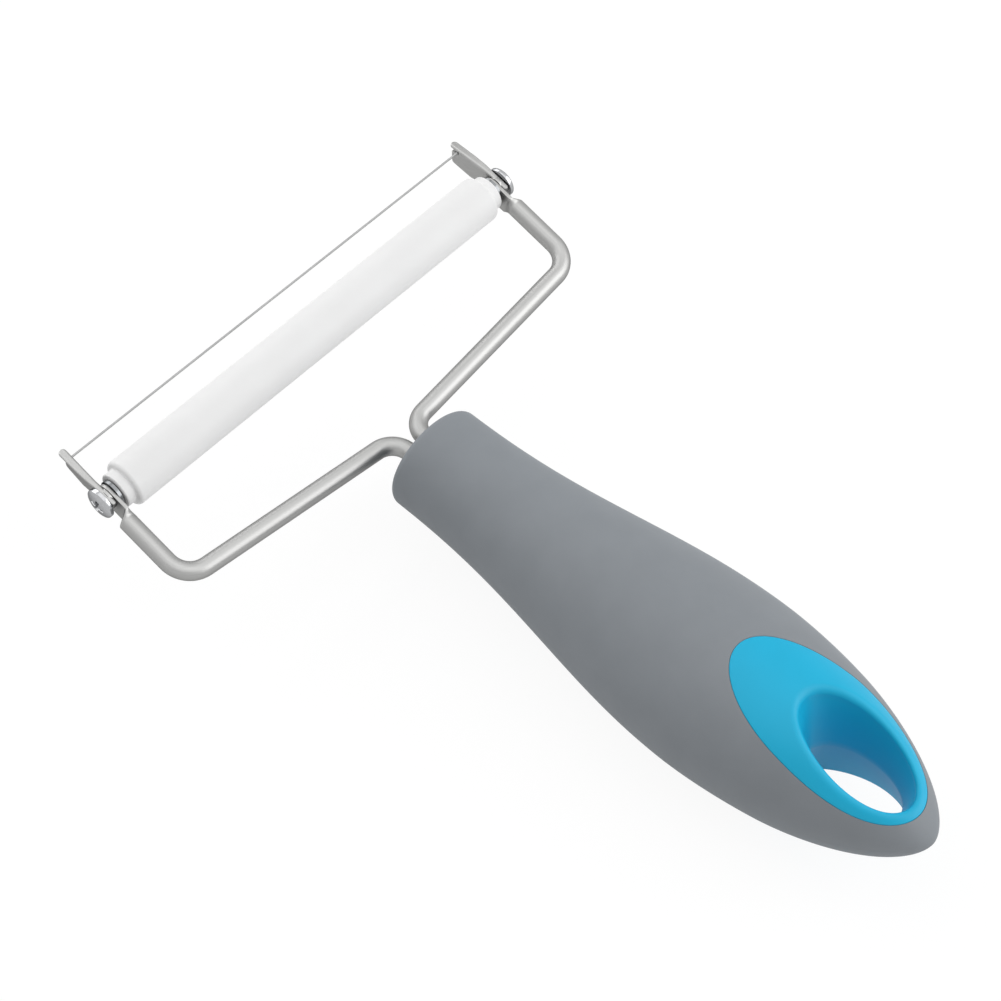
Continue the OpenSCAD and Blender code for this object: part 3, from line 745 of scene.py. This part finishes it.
class SLICER_OT_brackets(bpy.types.Operator):
    """Wire brackets: an upright web with eye and notch, bent over into a flange with round ends"""

    bl_idname = "slicer.brackets"
    bl_label = "Wire brackets"

    def execute(self, context):
        r = context.scene.slicer_brackets
        for side, name in ((-1, "left"), (1, "right")):
            grids = [self.flange(r), self.web(r)]
            for grid in grids:
                grid[..., 0] *= side
            grids = [grid + AXIS_POINT for grid in grids]
            piece = surface(f"{name}_bracket", grids, wrap_columns=True, crease_deg=35)
            dress(piece, "wire_frame", rolled_stainless_sheet, f"{name}_wire_bracket")
        return {"FINISHED"}

    def top(self, r, y):
        """Height of the flange top: z + rise * y - dip * max(0, 3 mm - y)^2."""
        return r.flange_z + r.flange_rise * y - r.flange_dip * np.maximum(0, 3 * MM - y) ** 2

    def inner(self, r, y):
        """Distance of the inner face of the web from the middle, leaning inward in front."""
        return r.web_x - r.lean / (r.reach - r.lean_y) * np.maximum(0, y - r.lean_y)

    def flange(self, r):
        """Bent strip swept along Y. Its section goes up the inner face, round the bend, along the top, round
        the nose, back underneath and down the outer face to a depth that falls to the flange thickness at
        both ends. Towards its ends the section shrinks to its middle as a rounded end does."""
        quarter = np.linspace(0, math.pi / 2, 10)
        heel_r, nose_len, nose_power, web_back = 0.6 * MM, 0.8 * MM, 2.4, 1.9 * MM
        nose_start = r.tongue - nose_len
        web_rows = np.linspace(-web_back, r.notch_y, 60)
        y = np.concatenate([
            heel_r - r.heel - heel_r * np.cos(quarter),
            web_rows,
            np.linspace(r.notch_y, nose_start, 14)[:-1],
            nose_start + nose_len * np.sin(quarter),
        ])[:, None]
        skirt, skirt_run = 1.2 * MM, 0.5 * MM
        depth = np.full(y.shape, r.flange_t)
        rows = slice(len(quarter), len(quarter) + len(web_rows))
        depth[rows, 0] += (skirt - r.flange_t) * np.clip((web_rows + web_back) / skirt_run, 0, 1)
        round_end = np.sqrt(np.clip(1 - ((heel_r - r.heel - y) / heel_r).clip(0, 1) ** 2, 0, 1))
        round_end *= (1 - np.clip((y - nose_start) / nose_len, 0, 1) ** nose_power) ** (1 / nose_power)
        # The strip covers the web by a hair on both faces
        xi = self.inner(r, y) - 0.006 * MM
        wall = xi + r.sheet + 0.012 * MM
        places, widths = np.array([[-3, 2.2, 4.2, 7, 11.5], [1.2, 1.3, 1.5, 1.68, 1.74]]) * MM
        width = np.interp(y, places, widths)
        zt = self.top(r, y)
        nose = r.flange_t / 2
        turn = np.linspace(math.pi / 2, -math.pi / 2, 11)
        corner = np.linspace(math.pi / 2, math.pi, 5)
        fillet = 0.12 * MM
        xo = xi + width
        flat = np.linspace(0.1, 0.9, 5)
        x = np.hstack([
            xi,
            xi + r.bend_r * (1 - np.cos(quarter)),
            xi + r.bend_r + (width - nose - r.bend_r) * flat,
            xo - nose + nose * np.cos(turn),
            wall + fillet + fillet * np.cos(corner),
            wall,
        ])
        z = np.hstack([
            zt - depth,
            zt - r.bend_r * (1 - np.sin(quarter)),
            zt + 0 * flat,
            zt - nose + nose * np.sin(turn),
            zt - r.flange_t - fillet + fillet * np.sin(corner),
            zt - depth,
        ])
        z = np.maximum(z, zt - depth)
        droop_start, droop_run = 4 * MM, 7.5 * MM
        z -= r.droop * np.clip((y - droop_start) / droop_run, 0, 1) * (x - xi) / width
        middle = (xi + xo) / 2
        x = middle + (x - middle) * round_end
        return np.stack([x, np.broadcast_to(y, x.shape), z], -1)

    def web(self, r):
        """Upright plate. Its outline is met by rays from the hole, each as long as the greater of the eye
        radius and its way to a polygon: lower edge, front with the wire notch, top under the flange."""
        eye_back, under_top, edge_r = 1.5 * MM, 0.75 * MM, 0.1 * MM
        top = [(y, self.top(r, y) - under_top) for y in np.linspace(r.notch_y, -eye_back, 16)]
        lower = [(0, -2.3), (5.2, -1.9), (6.6, -2.05), (8.4, -1.6), (11.2, -0.85), (11.6, -0.55)]
        front = [(r.reach, 0), (r.reach, r.notch_z), (r.notch_y, r.notch_z)]
        polygon = np.concatenate([np.array(lower) * MM, front, top, [(-eye_back, 0)]])
        after = np.roll(polygon, -1, 0)
        at_corners = np.arctan2(polygon[:, 1], polygon[:, 0])[:-1]
        a = np.unique(np.concatenate([np.linspace(-math.pi, math.pi, 160, endpoint=False), at_corners]))
        ray = np.column_stack([np.cos(a), np.sin(a)])[:, None]
        edge = after - polygon
        cross = ray[..., 0] * edge[:, 1] - ray[..., 1] * edge[:, 0]
        nothing, hair = 1e-12, 1e-6
        cross = np.where(np.abs(cross) < nothing, nothing, cross)
        far = (polygon[:, 0] * edge[:, 1] - polygon[:, 1] * edge[:, 0]) / cross
        place = (polygon[:, 0] * ray[..., 1] - polygon[:, 1] * ray[..., 0]) / cross
        hit = (place > -hair) & (place < 1 + hair) & (far > 0)
        reach = np.maximum(np.where(hit, far, 0).max(1), r.eye_r)[:, None]
        grid = plate(ray[:, 0] * reach, ray[:, 0] * r.bore_r, 0, r.sheet, edge_r)
        grid[..., 0] += self.inner(r, grid[..., 1])
        return np.concatenate([grid, grid[:1]])


class SLICER_OT_screws(bpy.types.Operator):
    """Pivot screws: domed heads with a tapered cross recess and plain shanks"""

    bl_idname = "slicer.screws"
    bl_label = "Pivot screws"

    def execute(self, context):
        """The profile is turned round the axis, and the cross recess is taken off the height of the dome,
        which is rim + dome * sqrt(1 - t^2) at the share t of the head radius."""
        r = context.scene.slicer_screws
        around, dome_steps, foot_r, tip_chamfer, driver_turn = 240, 60, 0.12 * MM, 0.3 * MM, 0.21
        a = np.linspace(0, 2 * np.pi, around, endpoint=False)[:, None]
        t = np.linspace(0, 1, dome_steps)
        dome_r = r.head_r * t
        # The dome stops just short of its quarter turn, so that it ends on the rim without a flat ring
        dome_x = r.head_x + r.rim + r.dome * np.sqrt(1 - (t * 0.9985) ** 2)
        turn = np.radians(np.linspace(0, 90, 5))[1:]
        foot = [(r.head_x + foot_r * (1 - math.sin(b)), r.head_r - foot_r * (1 - math.cos(b))) for b in turn]
        shank = [(r.head_x, r.shank_r), (r.shank_end + tip_chamfer, r.shank_r)]
        tip = [(r.shank_end, r.shank_r - tip_chamfer), (r.shank_end, 0)]
        rest = np.array([(r.head_x + foot_r, r.head_r), *foot, *shank, *tip])
        for side, name in ((-1, "left"), (1, "right")):
            turned = a + driver_turn * side
            cut = self.recess(r, dome_r * np.cos(turned), dome_r * np.sin(turned))
            x = np.hstack([dome_x - cut, np.broadcast_to(rest[:, 0], (around, len(rest)))])
            radius = np.broadcast_to(np.concatenate([dome_r, rest[:, 1]]), x.shape)
            grid = np.stack([side * x, radius * np.cos(a), radius * np.sin(a)], -1) + AXIS_POINT
            piece = surface(f"{name}_screw", [grid], wrap_rows=True, crease_deg=32)
            dress(piece, "handle_and_fork", nickel_plated_screw_steel, f"{name}_pivot_screw")
        return {"FINISHED"}

    def recess(self, r, y, z):
        """Depth of the cross recess at a point of the head: over both arms the greater of
        depth * (1 - 0.6 (u / l)^2) * ramp(w / 2 - |v|) * ramp(l - |u|), and the ramps slope the walls."""
        half, wall = r.recess_l / 2, 0.16 * MM
        arms = [
            (1 - 0.6 * (u / half) ** 2)
            * np.clip((r.recess_w / 2 - np.abs(v)) / wall + 0.5, 0, 1)
            * np.clip((half - np.abs(u)) / wall, 0, 1)
            for u, v in ((y, z), (z, y))
        ]
        return r.recess_depth * np.clip(np.maximum(*arms), 0, 1)


class SLICER_OT_steel(bpy.types.Operator):
    """Small steel parts: washers with softened edges and the cutting wire, with their finishes"""

    bl_idname = "slicer.steel"
    bl_label = "Small steel parts"

    def execute(self, context):
        washer_edge = 0.1 * MM
        for name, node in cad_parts.items():
            if name.endswith("spacer_washer"):
                self.soften(node, washer_edge)
                # The washers take the darker steel, painted shade for the gap they sit in
                self.coat(node, washer_steel_with_painted_shade)
            elif name == "cutting_wire":
                self.coat(node, spring_steel_wire)
        return {"FINISHED"}

    def coat(self, node, make):
        """Puts the finish on every material slot of the node."""
        for slot in node.material_slots:
            slot.material = made_once(make)

    def soften(self, node, width):
        """Joins the flat triangles and rounds the sharp edges."""
        flat = node.modifiers.new("flat", "DECIMATE")
        flat.decimate_type = "DISSOLVE"
        flat.angle_limit = math.radians(1.5)
        bevel = node.modifiers.new("soft edges", "BEVEL")
        bevel.width = width
        bevel.segments = 3
        bevel.limit_method = "ANGLE"
        bevel.angle_limit = math.radians(40)
        bevel.harden_normals = True


class SLICER_OT_studio(bpy.types.Operator):
    """Pale floor, soft studio light and the camera at the photograph's angle"""

    bl_idname = "slicer.studio"
    bl_label = "Studio"

    def execute(self, context):
        scene = context.scene
        scene.view_settings.view_transform = "Standard"
        self.floor()
        self.world(scene)
        self.lamps(scene)
        self.camera(scene)
        return {"FINISHED"}

    def floor(self):
        """A large white table top, seen as white by the camera but keeping a soft shadow."""
        size, below = 3.0, 0.1 * MM
        mirrored, glow_share, glow_strength = 0.6, 0.9, 1.02
        square = ((-size, -size), (size, -size), (size, size), (-size, size))
        mesh = bpy.data.meshes.new("floor")
        mesh.from_pydata([(x, y, -below) for x, y in square], [], [(0, 1, 2, 3)])
        floor = bpy.data.objects.new("floor", mesh)
        bpy.context.scene.collection.objects.link(floor)
        material, tree, shader = finish("white table top", linear("#F4F4F4"), 0.9)
        glow = add(tree, "ShaderNodeEmission", {"Color": (1, 1, 1, 1), "Strength": glow_strength})
        shares = {0: seen_directly(tree, mirrored), 1: glow_share}
        seen = add(tree, "ShaderNodeMath", shares, operation="MULTIPLY")
        mix = add(tree, "ShaderNodeMixShader", {0: seen.outputs[0], 1: shader.outputs[0], 2: glow.outputs[0]})
        tree.links.new(mix.outputs[0], tree.nodes["Material Output"].inputs["Surface"])
        mesh.materials.append(material)

    def world(self, scene):
        """White to camera, mirror and transmission rays, a plain soft grey to everything else."""
        world = bpy.data.worlds.new("studio")
        world.use_nodes = True
        scene.world = world
        tree = world.node_tree
        dim, bright = 0.38, 1.0
        levels = {"Value": seen_directly(tree, 1.0), "To Min": dim, "To Max": bright}
        level = add(tree, "ShaderNodeMapRange", levels)
        back = tree.nodes["Background"]
        back.inputs["Color"].default_value = (1, 1, 1, 1)
        tree.links.new(level.outputs["Result"], back.inputs["Strength"])

    def lamps(self, scene):
        """Three soft boxes: overhead, low behind the slicing end and low at the right of the handle."""
        aim = Vector((0, 0, 0.02))
        for name, place, wide, high, power in (
            ("overhead", (0, 0, 1.0), 1.3, 1.3, 3.9),
            ("behind", (0, 1.0, 0.42), 1.5, 0.75, 6.5),
            ("right", (0.6, -0.8, 0.6), 1.2, 0.9, 8.2),
        ):
            data = bpy.data.lights.new(name, "AREA")
            data.shape = "RECTANGLE"
            data.size = wide
            data.size_y = high
            data.energy = power
            lamp = bpy.data.objects.new(name, data)
            lamp.location = place
            lamp.rotation_euler = (aim - Vector(place)).to_track_quat("-Z", "Y").to_euler()
            scene.collection.objects.link(lamp)

    def camera(self, scene):
        """The photograph's view, found from the straight edges of the roller and the rods."""
        data = bpy.data.cameras.new("camera")
        sensor_mm, focal_px, photo_px = 36.0, 2866, 1001
        data.sensor_width = sensor_mm
        data.lens = focal_px / photo_px * sensor_mm
        data.clip_start = 10 * MM
        camera = bpy.data.objects.new("camera", data)
        azimuth, elevation = math.radians(-46.73), math.radians(54.96)
        right = Vector((math.cos(azimuth), math.sin(azimuth), 0))
        level = Vector((-math.sin(azimuth), math.cos(azimuth), 0))
        forward = level * math.cos(elevation) - Vector((0, 0, math.sin(elevation)))
        up = right.cross(forward)
        eye = Vector(AXIS) + Vector((-230.13, -268.58, 444.91)) * MM
        turn = Matrix((right, up, -forward)).transposed().to_4x4()
        camera.matrix_world = Matrix.Translation(eye) @ turn
        scene.collection.objects.link(camera)
        scene.camera = camera


class SLICER_PT_panel(bpy.types.Panel):
    """Sizes, colours and the pieces"""

    bl_label = "Cheese slicer"
    bl_space_type = "VIEW_3D"
    bl_region_type = "UI"
    bl_category = "Cheese slicer"

    def draw(self, context):
        for name in GROUPS:
            group = getattr(context.scene, name)
            box = self.layout.box()
            for key in group.bl_rna.properties.keys():
                if key not in {"rna_type", "name"}:
                    box.prop(group, key)
        for operator in OPERATORS:
            self.layout.operator(operator.bl_idname)


GROUPS = {
    "slicer_handle": HandleSizes,
    "slicer_roller": RollerSizes,
    "slicer_rods": RodSizes,
    "slicer_brackets": BracketSizes,
    "slicer_screws": ScrewSizes,
    "slicer_colours": Colours,
}
OPERATORS = (
    SLICER_OT_studio,
    SLICER_OT_grip,
    SLICER_OT_core,
    SLICER_OT_roller,
    SLICER_OT_rods,
    SLICER_OT_brackets,
    SLICER_OT_screws,
    SLICER_OT_steel,
)
CLASSES = (*GROUPS.values(), *OPERATORS, SLICER_PT_panel)


def register():
    for cls in CLASSES:
        bpy.utils.register_class(cls)
    for name, group in GROUPS.items():
        setattr(bpy.types.Scene, name, bpy.props.PointerProperty(type=group))


def unregister():
    for name in GROUPS:
        delattr(bpy.types.Scene, name)
    for cls in reversed(CLASSES):
        bpy.utils.unregister_class(cls)


def main():
    register()
    bpy.ops.slicer.studio()
    bpy.ops.slicer.grip()
    bpy.ops.slicer.core()
    bpy.ops.slicer.roller()
    bpy.ops.slicer.rods()
    bpy.ops.slicer.brackets()
    bpy.ops.slicer.screws()
    bpy.ops.slicer.steel()


if __name__ == "__main__":
    main()
